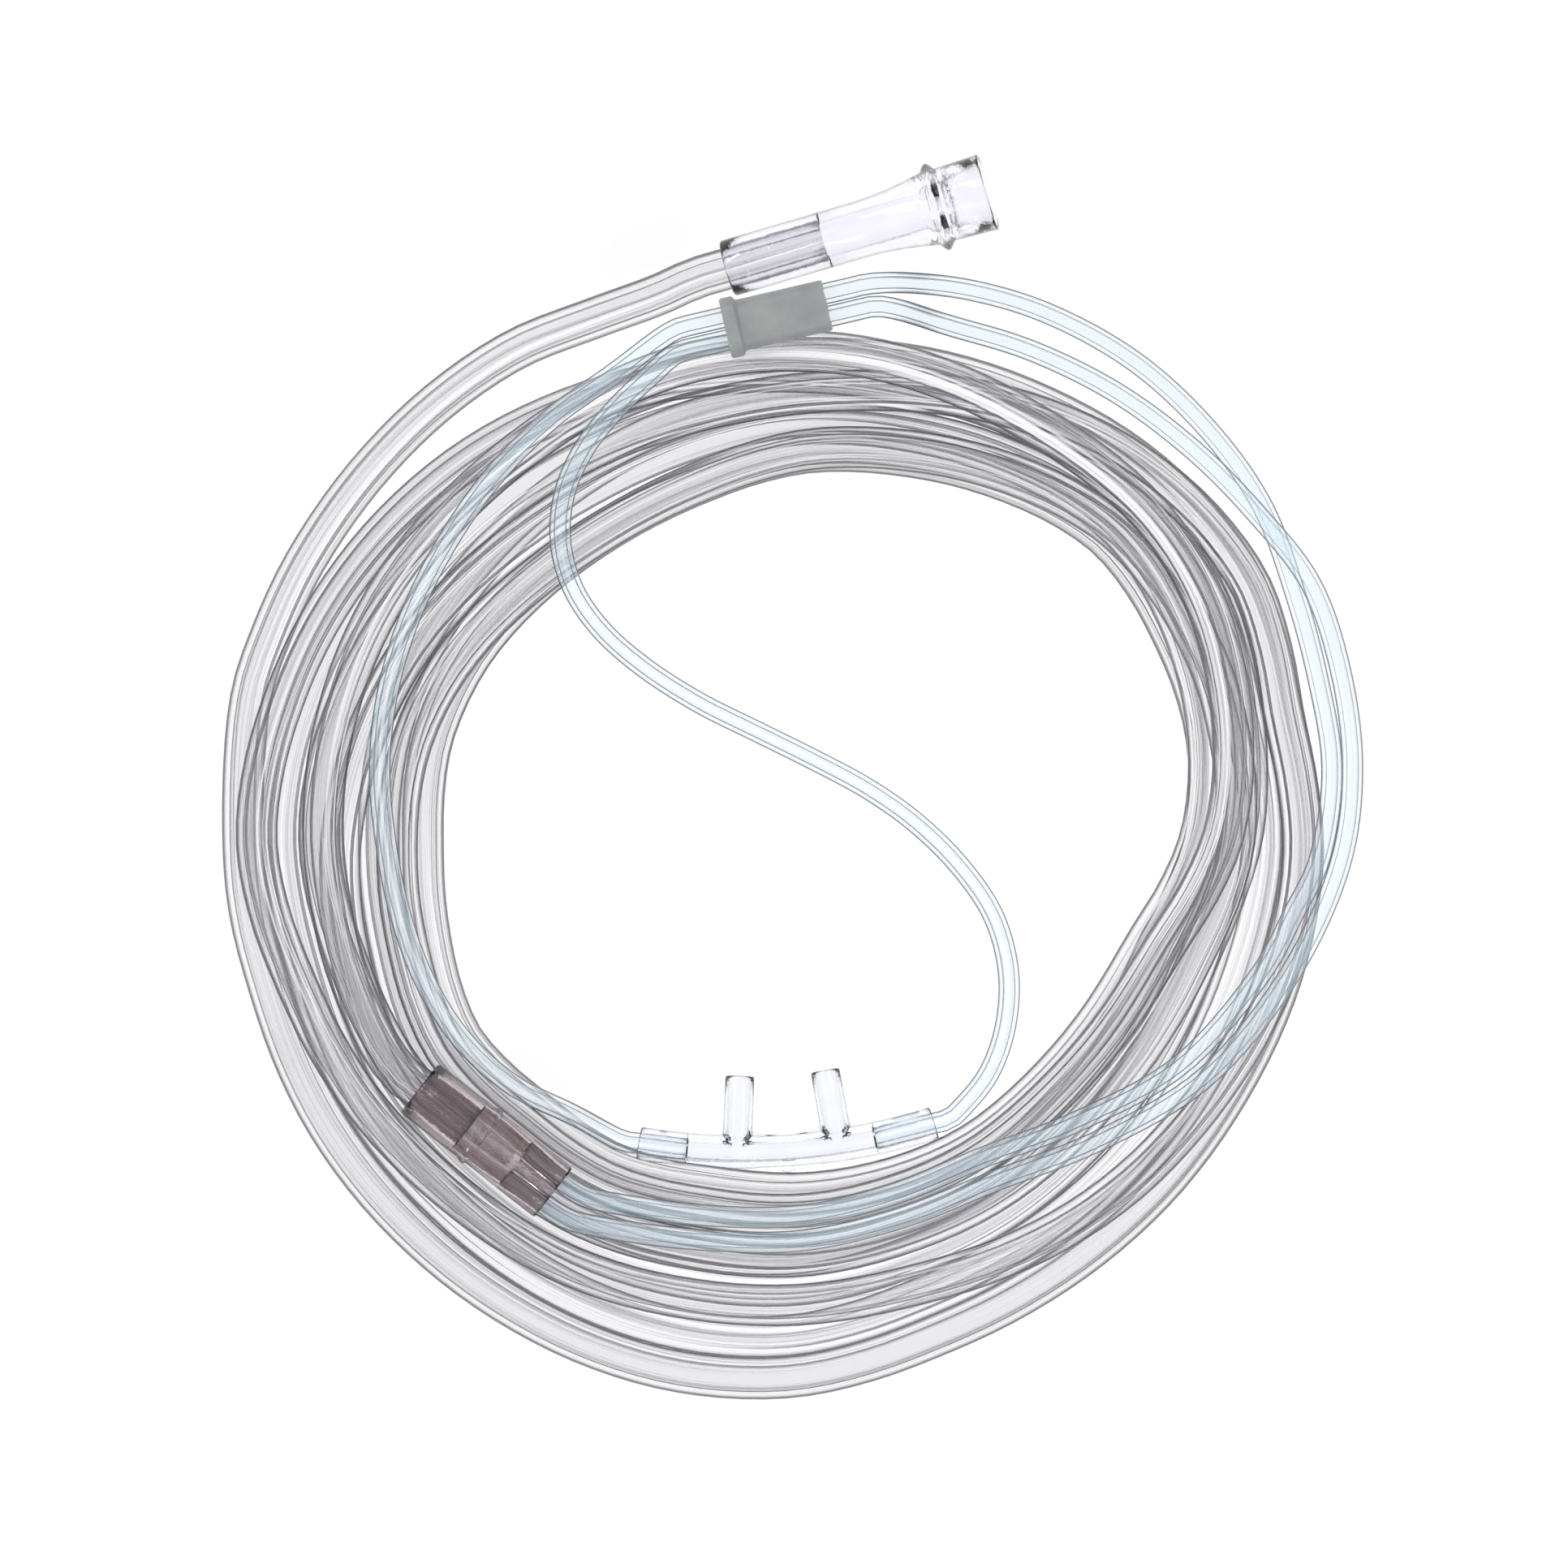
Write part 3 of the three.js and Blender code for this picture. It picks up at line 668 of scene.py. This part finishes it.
def funnel_connector():
    """A body of revolution: a plain sleeve, a flare to a sharp flange, a short neck and a wide mouth with a
    cone inside, with every edge a little rounded."""
    sleeve, neck = SLEEVE_OD / 2, NECK_OD / 2
    flange_start, flange_end = FLANGE_AT - FLANGE_LENGTH / 2, FLANGE_AT + FLANGE_LENGTH / 2
    flare_start = FUNNEL_LENGTH / 2
    cone_end = FUNNEL_LENGTH - CONE_DEPTH
    flare = np.linspace(flare_start, flange_start, 14)
    flare_radii = sleeve + (neck - sleeve) * ((flare - flare_start) / (flange_start - flare_start)) ** 1.9
    socket = SUPPLY_OD / 2 + FIT
    mouth = MOUTH_OD / 2
    outside = [
        [0, socket + 0.2], [0, sleeve - 0.5], [0.15, sleeve - 0.2], [0.5, sleeve], [4, sleeve], [12, sleeve],
        *zip(flare, flare_radii),
        [FLANGE_AT - 0.5, FLANGE_OD / 2 - 0.25], [FLANGE_AT - 0.15, FLANGE_OD / 2],
        [FLANGE_AT + 0.15, FLANGE_OD / 2], [FLANGE_AT + 0.5, FLANGE_OD / 2 - 0.25],
        [flange_end, neck], [flange_end + 2.5, neck + 0.05], [FUNNEL_LENGTH - 0.6, mouth - 0.1],
        [FUNNEL_LENGTH - 0.3, mouth], [FUNNEL_LENGTH, mouth - 0.15],
    ]
    inside = [
        [FUNNEL_LENGTH, MOUTH_BORE / 2 + 0.2], [FUNNEL_LENGTH - 0.3, MOUTH_BORE / 2],
        [cone_end + 0.5, CONE_END_BORE / 2 + 0.15], [cone_end, CONE_END_BORE / 2],
        [flange_start + 0.3, CONE_END_BORE / 2], [flange_start - 0.6, FUNNEL_BORE / 2],
        [28, FUNNEL_BORE / 2], [SLEEVE_SOCKET + 0.3, FUNNEL_BORE / 2], [SLEEVE_SOCKET, FUNNEL_BORE / 2 + 0.2],
        [SLEEVE_SOCKET, socket - 0.1], [SLEEVE_SOCKET - 0.3, socket], [8, socket], [0.3, socket],
    ]
    profile = np.array(outside + inside)
    sides = 96
    made = piece("funnel_connector_clear", on_funnel(turned(profile, sides)), ring_faces(len(profile), sides))
    outwards(made.data)
    made.data.set_sharp_from_angle(angle=math.radians(50))
    return made


def y_connector():
    """An inlet rod with a rounded collar, and a body whose section passes from round, behind the collar, to
    a wide oval at the two outlets, as a superellipse of changing width and height. The supply tube's
    socket, two passages and two outlet sockets are cut from it."""
    sides = 72
    angle = np.linspace(0, 2 * np.pi, sides, endpoint=False)
    inlet = Y_INLET_OD / 2
    collar = Y_COLLAR_OD / 2
    middle = Y_INLET_LENGTH
    half = Y_COLLAR_LENGTH / 2
    outlet = HEADSET_OD / 2 + FIT + Y_OUTLET_WALL + 0.25
    wide = Y_OUTLET_PITCH / 2 + outlet
    along = np.array([
        0, 0.25, 0.6, 4, 8, middle - half - 0.5, middle - half - 0.1, middle - half * 0.5, middle,
        middle + half * 0.5, middle + half + 0.1, middle + half + 0.6,
        *np.linspace(middle + half + 1.6, Y_LENGTH - 1, 8), Y_LENGTH - 0.3, Y_LENGTH,
    ])
    level = np.full(len(along), inlet)
    level[0], level[1] = inlet - 0.35, inlet - 0.1
    level[6:11] = [inlet + 0.2, collar - 0.05, collar, collar - 0.05, inlet + 0.15]
    behind = along > middle + half
    share = (along - middle - half) / (Y_LENGTH - middle - half)
    level[behind] = eased(inlet - 0.1, wide, share[behind] * 1.4)
    upright = level.copy()
    upright[behind] = eased(inlet - 0.1, outlet + 0.45, share[behind] * 1.15)
    level[-1] -= 0.25
    upright[-1] -= 0.25
    power = np.where(behind, eased(1.0, 0.82, share), 1.0)[:, None]
    c, s = np.cos(angle)[None, :], np.sin(angle)[None, :]
    y = level[:, None] * np.sign(c) * np.abs(c) ** power
    z = upright[:, None] * np.sign(s) * np.abs(s) ** power
    x = np.repeat(along[:, None], sides, axis=1)
    outside = np.stack([x, y, z], axis=-1).reshape(-1, 3)
    body = body_of_rings("y_connector_smoked", outside, len(along), sides, on_y)
    socket = SUPPLY_OD / 2 + FIT
    cuts = [rod(
        [socket + 0.5, socket, socket, socket - 0.6],
        [-0.3, 0.5, Y_INLET_SOCKET - 0.3, Y_INLET_SOCKET],
    )]
    for side in (-1, 1):
        offset = side * Y_OUTLET_PITCH / 2
        inner = HEADSET_OD / 2 + FIT
        passage = Y_PASSAGE / 2
        floor = Y_LENGTH - Y_OUTLET_SOCKET
        cuts.append(rod(
            [passage, passage, inner, inner, inner + 0.45],
            [Y_INLET_SOCKET - 1, floor - 0.4, floor, Y_LENGTH - 0.5, Y_LENGTH + 0.3], offset,
        ))
    hollows = [body_of_rings("hollow", c, len(c) // 48, 48, on_y) for c in cuts]
    return carved("y_connector_smoked", [body], hollows)


def chin_slide():
    """A flat oval sleeve with a flange at one end. Its section is two half circles joined by gently waisted
    flats, carried along +X with rounded end edges; two bores for the headset tubes are cut from it."""
    sides = 72
    half = SLIDE_LENGTH / 2
    rim = SLIDE_FLANGE_RIM
    flange = SLIDE_FLANGE_LENGTH
    along = [-half, -half + 0.3, -half + flange - 0.3, -half + flange, -half + flange + 0.25]
    grow = [rim - 0.25, rim, rim, rim - 0.3, 0.1]
    along += list(np.linspace(-half + flange + 0.6, half - 0.4, 8)) + [half - 0.1, half]
    grow += [0.0] * 8 + [-0.08, -0.3]
    radius = HEADSET_OD / 2 + SLIDE_CLEARANCE + SLIDE_WALL
    angle = np.linspace(0, 2 * np.pi, sides, endpoint=False)
    c, s = np.cos(angle), np.sin(angle)
    r = radius + np.array(grow)[:, None]
    waist = 1 - 0.09 * np.exp(-(c / 0.35) ** 2)
    y = np.sign(c) * SLIDE_TUBE_PITCH / 2 * np.minimum(1, np.abs(c) * 2.2) + r * c
    z = r * s * waist
    x = np.repeat(np.array(along)[:, None], sides, axis=1)
    outside = np.stack([x, y, z], axis=-1).reshape(-1, 3)
    body = body_of_rings("chin_slide_grey", outside, len(along), sides, on_slide)
    bore = HEADSET_OD / 2 + SLIDE_CLEARANCE
    hollows = []
    for side in (-1, 1):
        points = rod(
            [bore + 0.25, bore, bore, bore + 0.25],
            [-half - 0.2, -half + 0.3, half - 0.3, half + 0.2],
            side * SLIDE_TUBE_PITCH / 2,
        )
        hollows.append(body_of_rings("hollow", points, 4, 48, on_slide))
    return carved("chin_slide_grey", [body], hollows)


def prong(side, radii, along, sides=48):
    """Rings about a prong's leaning axis, from the barrel's middle outwards."""
    points = turned(np.stack([along, radii], axis=1), sides)
    root = bent([side * PRONG_PITCH / 2, 0, 0])
    lean = side * (math.radians(PRONG_LEAN) + PRONG_PITCH / 2 / BARREL_BEND_RADIUS)
    axis = np.array([-math.sin(lean), math.cos(lean), 0])
    level = np.array([math.cos(lean), math.sin(lean), 0])
    return root + points[:, :1] * axis + points[:, 1:2] * level + points[:, 2:] * [0, 0, 1]


def nosepiece():
    """A bent barrel with a socket at each end, joined with two prongs whose roots flare into it, a thin web
    between them whose edge is a parabola, and a small gate nub. The bores are cut from it."""
    half = BARREL_LENGTH / 2
    barrel = BARREL_OD / 2
    sides = 48
    along = np.concatenate([[-half, -half + 0.12, -half + 0.4], np.linspace(-half + 1.5, half - 1.5, 33),
                            [half - 0.4, half - 0.12, half]])
    radii = np.full(len(along), barrel)
    radii[[0, -1]] -= 0.3
    radii[[1, -2]] -= 0.09
    inside = np.abs(along) < PRONG_PITCH / 2 - 3
    radii[inside] -= 0.12
    bodies = [body_of_rings("nosepiece_clear", rod(radii, along, 0, sides), len(along), sides, on_barrel)]
    tip = PRONG_LENGTH
    reach = np.array([0.3, 1.8, 2.4, 2.9, 3.3, 3.8, 4.5, 6, 9, tip - 0.5, tip - 0.15, tip])
    flare = PRONG_OD / 2 + PRONG_FLARE * np.exp(-((reach - 1.8) / 1.1).clip(0) ** 1.2)
    flare[0] = 1.6
    flare[-2:] = [PRONG_OD / 2 - 0.08, PRONG_OD / 2 - 0.25]
    for side in (-1, 1):
        bodies.append(body_of_rings("prong", prong(side, flare, reach), len(reach), 48, on_nosepiece))
    bodies.append(web())
    nub = rod([0.35, 0.55, 0.6, 0.55, 0.35], np.linspace(-GATE_WIDTH / 2, GATE_WIDTH / 2, 5), 0, 24)
    nub[:, 1] = nub[:, 1] * 1.2 - barrel - 0.15
    bodies.append(body_of_rings("nub", nub, 5, 24, on_barrel))
    left_floor, right_floor = -half + LEFT_SOCKET_DEPTH, half - RIGHT_SOCKET_DEPTH
    socket = HEADSET_OD / 2 + FIT
    bore = BARREL_BORE / 2
    run = np.linspace(left_floor + 0.3, right_floor - 0.3, 22)
    inner_along = np.concatenate([[-half - 0.3, -half + 0.4, -half + 4, left_floor], run,
                                  [right_floor, half - 4, half - 0.4, half + 0.3]])
    inner_radii = np.concatenate([[socket + 0.3, socket, socket, socket], np.full(len(run), bore),
                                  [socket, socket, socket, socket + 0.3]])
    hollows = [body_of_rings("hollow", rod(inner_radii, inner_along), len(inner_along), 48, on_barrel)]
    for side in (-1, 1):
        depth = np.array([0, 3, 8, PRONG_LENGTH - 0.4, PRONG_LENGTH + 0.3])
        wide = np.array([PRONG_BORE / 2 - 0.55, PRONG_BORE / 2 - 0.15, PRONG_BORE / 2, PRONG_BORE / 2,
                         PRONG_BORE / 2 + 0.3])
        hollows.append(body_of_rings("hollow", prong(side, wide, depth), 5, 48, on_nosepiece))
    return carved("nosepiece_clear", bodies, hollows)


def web():
    """The thin web between the prongs: a flat strip whose outer edge dips in a parabola."""
    columns, sides = 25, 12
    x = np.linspace(-PRONG_PITCH / 2, PRONG_PITCH / 2, columns)
    top = BARREL_OD / 2 + WEB_DEPTH * (2 * x / PRONG_PITCH) ** 2 - 0.15
    angle = np.linspace(0, 2 * np.pi, sides, endpoint=False)
    c, s = np.cos(angle)[None, :], np.sin(angle)[None, :]
    y = top[:, None] / 2 + top[:, None] / 2 * np.sign(c) * np.abs(c) ** 0.2
    z = WEB_THICKNESS / 2 * np.sign(s) * np.abs(s) ** 0.5 + 0 * y
    points = np.stack([np.repeat(x[:, None], sides, axis=1), y, z], axis=-1).reshape(-1, 3)
    return body_of_rings("web", points, columns, sides, on_barrel)


# Shader maths

class Wire:
    """A socket of a shader node, on which Python's operators add Math nodes."""

    def __init__(self, finish, socket):
        self.finish = finish
        self.socket = socket

    def maths(self, operation, first, second):
        return self.finish.node("ShaderNodeMath", {"operation": operation}, {0: first, 1: second})[0]

    def __add__(self, other):
        return self.maths("ADD", self, other)

    def __radd__(self, other):
        return self.maths("ADD", other, self)

    def __rsub__(self, other):
        return self.maths("SUBTRACT", other, self)

    def __mul__(self, other):
        return self.maths("MULTIPLY", self, other)

    def __rmul__(self, other):
        return self.maths("MULTIPLY", other, self)


class Finish:
    """A material that is built up node by node."""

    def __init__(self, name, world=False):
        owner = bpy.data.worlds.new(name) if world else bpy.data.materials.new(name)
        owner.use_nodes = True
        self.owner = owner
        self.tree = owner.node_tree
        self.tree.nodes.clear()

    def node(self, kind, settings=None, values=None):
        """Adds a node with its settings, then its sockets' values or links, and returns its outputs."""
        made = self.tree.nodes.new(kind)
        for name, value in (settings or {}).items():
            if name == "stops":
                self.set_stops(made.color_ramp, value)
            else:
                setattr(made, name, value)
        for name, value in (values or {}).items():
            if isinstance(value, Wire):
                self.tree.links.new(value.socket, made.inputs[name])
            else:
                made.inputs[name].default_value = value
        return [Wire(self, socket) for socket in made.outputs]

    def set_stops(self, ramp, stops):
        while len(ramp.elements) < len(stops):
            ramp.elements.new(0.5)
        for element, (place, colour) in zip(ramp.elements, stops):
            element.position = place
            element.color = (*colour, 1)

    def object_place(self):
        """Object coordinates, in metres."""
        return self.node("ShaderNodeTexCoord")[3]

    def tube_place(self, scale):
        """The tube's own UV map: metres round it and metres along it, stretched by a scale."""
        place = self.node("ShaderNodeUVMap", {"uv_map": "tube"})[0]
        return self.node("ShaderNodeMapping", None, {"Vector": place, "Scale": scale})[0]

    def noise(self, place, scale, detail=2.0, roughness=0.5):
        return self.node("ShaderNodeTexNoise", None,
                         {"Vector": place, "Scale": scale, "Detail": detail, "Roughness": roughness})[0]

    def mixed(self, share, first, second):
        return self.node("ShaderNodeMix", {"data_type": "RGBA"}, {0: share, 6: first, 7: second})[2]

    def stepped(self, value, low, high):
        """0 below low, 1 above high, and smooth between."""
        return self.node("ShaderNodeMapRange", {"interpolation_type": "SMOOTHSTEP"},
                         {"Value": value, "From Min": low, "From Max": high})[0]

    def bump(self, height, distance):
        return self.node("ShaderNodeBump", None, {"Height": height, "Distance": distance, "Strength": 1.0})[0]

    def surface(self, values):
        shader = self.node("ShaderNodeBsdfPrincipled", None, values)[0]
        self.node("ShaderNodeOutputMaterial", None, {"Surface": shader})
        return self.owner


def clear_tube_vinyl(
        name, body_tint, edge_tint, cover, edge_cover, thread_cover, painted_highlight_cover, lines_across):
    """Clear extruded vinyl, drawn as a thin skin on the outer wall and on the star-shaped lumen.

    Where a wall is seen square on, it covers little of what is behind it; where it is steep, it is darker
    and covers more, as the thick side of a bottle does. A noise that is stretched along the tube adds fine
    darker threads, its die lines, and fine white threads, which are painted highlights."""
    f = Finish(name)
    lines = f.noise(f.tube_place((lines_across, 3, 1)), 1.0, 1.0, 0.6)
    steep = f.node("ShaderNodeLayerWeight", None, {"Blend": 0.5})[1]
    thread = f.stepped(lines, 0.58, 0.64)
    side = f.stepped(steep, 0.34, 0.74)
    # Painted highlight: thin lines of the noise, away from the steep sides, turn white and cover more, in
    # place of the lamps' real highlights
    painted_highlight_mask = (1 - f.stepped(lines, 0.36, 0.42)) * (1 - side)
    colour = f.mixed(side, (*body_tint, 1), (*edge_tint, 1))
    colour = f.mixed(painted_highlight_mask, colour, (1, 1, 1, 1))
    alpha = cover + (edge_cover - cover) * side + thread_cover * thread + painted_highlight_cover * painted_highlight_mask
    return f.surface({
        "Base Color": colour, "Roughness": 0.08 + 0.1 * thread, "Alpha": alpha,
        "IOR": 1.5, "Specular IOR Level": 0.3,
    })


def moulded_vinyl(name, tint, deep_tint, edge_tint, haze):
    """Clear moulded vinyl: slow swirls in its tint, a very fine unevenness of its skin, and darker edges
    where it is seen through a steep wall."""
    f = Finish(name)
    place = f.object_place()
    swirl = f.noise(place, 220, 2.0)
    skin = f.noise(place, 1500, 3.0)
    body = f.mixed(f.stepped(swirl, 0.35, 0.7), (*tint, 1), (*deep_tint, 1))
    steep = f.node("ShaderNodeLayerWeight", None, {"Blend": 0.5})[1]
    colour = f.mixed(f.stepped(steep, 0.45, 0.95), body, (*edge_tint, 1))
    rough = haze + 0.06 * f.stepped(skin, 0.45, 0.75)
    normal = f.bump(skin, 0.00003)
    return f.surface({
        "Base Color": colour, "Roughness": rough, "Normal": normal,
        "Transmission Weight": 1.0, "IOR": 1.5,
    })


def grey_slide_vinyl():
    """Matt grey vinyl, slightly cloudy, with a fine moulded grain."""
    f = Finish("grey slide vinyl")
    place = f.object_place()
    cloud = f.noise(place, 160, 3.0)
    grain = f.noise(place, 4200, 2.0)
    colour = f.mixed(f.stepped(cloud, 0.3, 0.75), (0.25, 0.265, 0.265, 1), (0.32, 0.335, 0.33, 1))
    rough = 0.42 + 0.14 * f.stepped(grain, 0.35, 0.7)
    return f.surface({
        "Base Color": colour, "Roughness": rough, "Normal": f.bump(grain, 0.00005),
        "Subsurface Weight": 0.25, "Subsurface Radius": (0.002, 0.002, 0.002), "Subsurface Scale": 1.0,
    })


def dress(made, material):
    """Gives a piece its one material."""
    made.data.materials.clear()
    made.data.materials.append(material)


def table_finish():
    """A plain matt white floor with an even, very faint mottling."""
    f = Finish("white floor")
    mottle = f.noise(f.object_place(), 3.0)
    colour = f.mixed(mottle, (0.93, 0.93, 0.935, 1), (0.94, 0.94, 0.94, 1))
    return f.surface({"Base Color": colour, "Roughness": 0.9, "Specular IOR Level": 0.0})


def studio_sky():
    """A bright soft dome: white overhead, and greyer towards the horizon."""
    f = Finish("studio sky", world=True)
    up = f.node("ShaderNodeSeparateXYZ", None, {0: f.node("ShaderNodeTexCoord")[0]})[2]
    sky = f.node("ShaderNodeValToRGB", {"stops": [
        (0.0, (0.1, 0.1, 0.115)), (0.12, (0.35, 0.345, 0.37)),
        (0.35, (0.95, 0.945, 0.965)), (1.0, (1.0, 1.0, 1.0)),
    ]}, {0: up})[0]
    light = f.node("ShaderNodeBackground", None, {"Color": sky, "Strength": 0.92})[0]
    f.node("ShaderNodeOutputWorld", None, {"Surface": light})
    bpy.context.scene.world = f.owner


def soft_box(name, place, width, depth, power):
    """A large oblong lamp that looks at the coil."""
    lamp = bpy.data.lights.new(name, "AREA")
    lamp.shape = "RECTANGLE"
    lamp.size = width
    lamp.size_y = depth
    lamp.energy = power
    made = bpy.data.objects.new(name, lamp)
    made.location = place
    direction = -np.array(place) / np.linalg.norm(place)
    yaw = math.atan2(direction[1], direction[0])
    tilt = math.acos(-direction[2])
    made.rotation_euler = (0, -tilt, yaw)
    made.visible_camera = False
    bpy.context.scene.collection.objects.link(made)


def white_floor():
    """A square floor that reaches far past the view."""
    far = FLOOR_REACH
    corners = [(-far, -far, 0), (far, -far, 0), (far, far, 0), (-far, far, 0)]
    mesh = bpy.data.meshes.new("floor")
    mesh.from_pydata(corners, [], [(0, 1, 2, 3)])
    made = bpy.data.objects.new("floor", mesh)
    made.data.materials.append(table_finish())
    bpy.context.scene.collection.objects.link(made)


# Making it all

supply_line = lay_supply_tube()
supply_radii = np.full(len(supply_line), SUPPLY_OD / 2)
left_line = lay_headset_tube(LEFT_ROUTE, supply_line, supply_radii)
laid = np.vstack([supply_line, left_line])
laid_radii = np.concatenate([supply_radii, np.full(len(left_line), HEADSET_OD / 2)])
right_line = lay_headset_tube(RIGHT_ROUTE, laid, laid_radii)

SUPPLY_SECTION = (SUPPLY_OD, SUPPLY_BORE, SUPPLY_RIB, SUPPLY_SIDES)
HEADSET_SECTION = (HEADSET_OD, HEADSET_BORE, HEADSET_RIB, HEADSET_SIDES)
tubes = {
    "supply_tube": hose("supply_tube", resample(supply_line, HOSE_STEP), *SUPPLY_SECTION),
    "headset_left": hose("headset_left", left_line, *HEADSET_SECTION),
    "headset_right": hose("headset_right", right_line, *HEADSET_SECTION),
}
funnel = funnel_connector()
y_piece = y_connector()
slide = chin_slide()
nose = nosepiece()

dress(tubes["supply_tube"], clear_tube_vinyl(
    "clear supply vinyl", body_tint=(0.2, 0.19, 0.225), edge_tint=(0.01, 0.009, 0.014),
    cover=0.08, edge_cover=0.78, thread_cover=0.26, painted_highlight_cover=0.5, lines_across=1100))
headset_vinyl = clear_tube_vinyl(
    "clear headset vinyl", body_tint=(0.5, 0.68, 0.78), edge_tint=(0.01, 0.012, 0.016),
    cover=0.1, edge_cover=0.9, thread_cover=0.06, painted_highlight_cover=0.14, lines_across=900)
dress(tubes["headset_left"], headset_vinyl)
dress(tubes["headset_right"], headset_vinyl)
dress(funnel, moulded_vinyl(
    "clear funnel vinyl", (0.965, 0.96, 0.995), (0.945, 0.94, 0.985), (0.2, 0.18, 0.27), 0.03))
dress(y_piece, moulded_vinyl(
    "smoked vinyl", (0.66, 0.57, 0.58), (0.57, 0.48, 0.49), (0.03, 0.015, 0.018), 0.03))
dress(slide, grey_slide_vinyl())
dress(nose, moulded_vinyl(
    "soft nosepiece vinyl", (0.96, 0.968, 0.995), (0.935, 0.95, 0.985), (0.14, 0.16, 0.24), 0.04))

white_floor()
studio_sky()
soft_box("lamp_left", (-1.2, 0.9, 1.5), 0.25, 1.3, 11)
soft_box("lamp_right", (1.4, -0.7, 1.4), 0.2, 1.1, 8)

# The clear pieces let all the light through to the floor
for made in (*tubes.values(), funnel, nose):
    made.visible_shadow = False
    made.visible_diffuse = False

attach(tubes["supply_tube"], "root")
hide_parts("supply_coil", "supply_tube_to_funnel", "supply_tube_to_y")
for side in ("left", "right"):
    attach(tubes["headset_" + side], "root")
    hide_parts("headset_tube_" + side)
for made, body, node, slot in [
    (funnel, "root", "funnel_connector", "funnel"),
    (y_piece, "root", "y_connector", "y_connector"),
    (nose, "root", "nosepiece", "nosepiece"),
    (slide, "slide", "chin_slide", "slide"),
]:
    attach(made, body)
    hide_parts(node)


def in_frame(line):
    """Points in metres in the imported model's frame."""
    return ((np.asarray(line) + [COIL_MIDDLE[0], COIL_MIDDLE[1], 0]) * MM).tolist()


y_inlet_mouth = in_frame(on_y([[0, 0, 0]]))[0]
for side, line, outlet in (("left", left_line, 1), ("right", right_line, -1)):
    outlet_mouth = in_frame(on_y([[Y_LENGTH, outlet * Y_OUTLET_PITCH / 2, 0]]))[0]

view_settings = bpy.context.scene.view_settings
view_settings.view_transform = "Standard"
cycles = bpy.context.scene.cycles
cycles.max_bounces = 20
cycles.transmission_bounces = 20
cycles.glossy_bounces = 4
cycles.diffuse_bounces = 2
cycles.transparent_max_bounces = 64
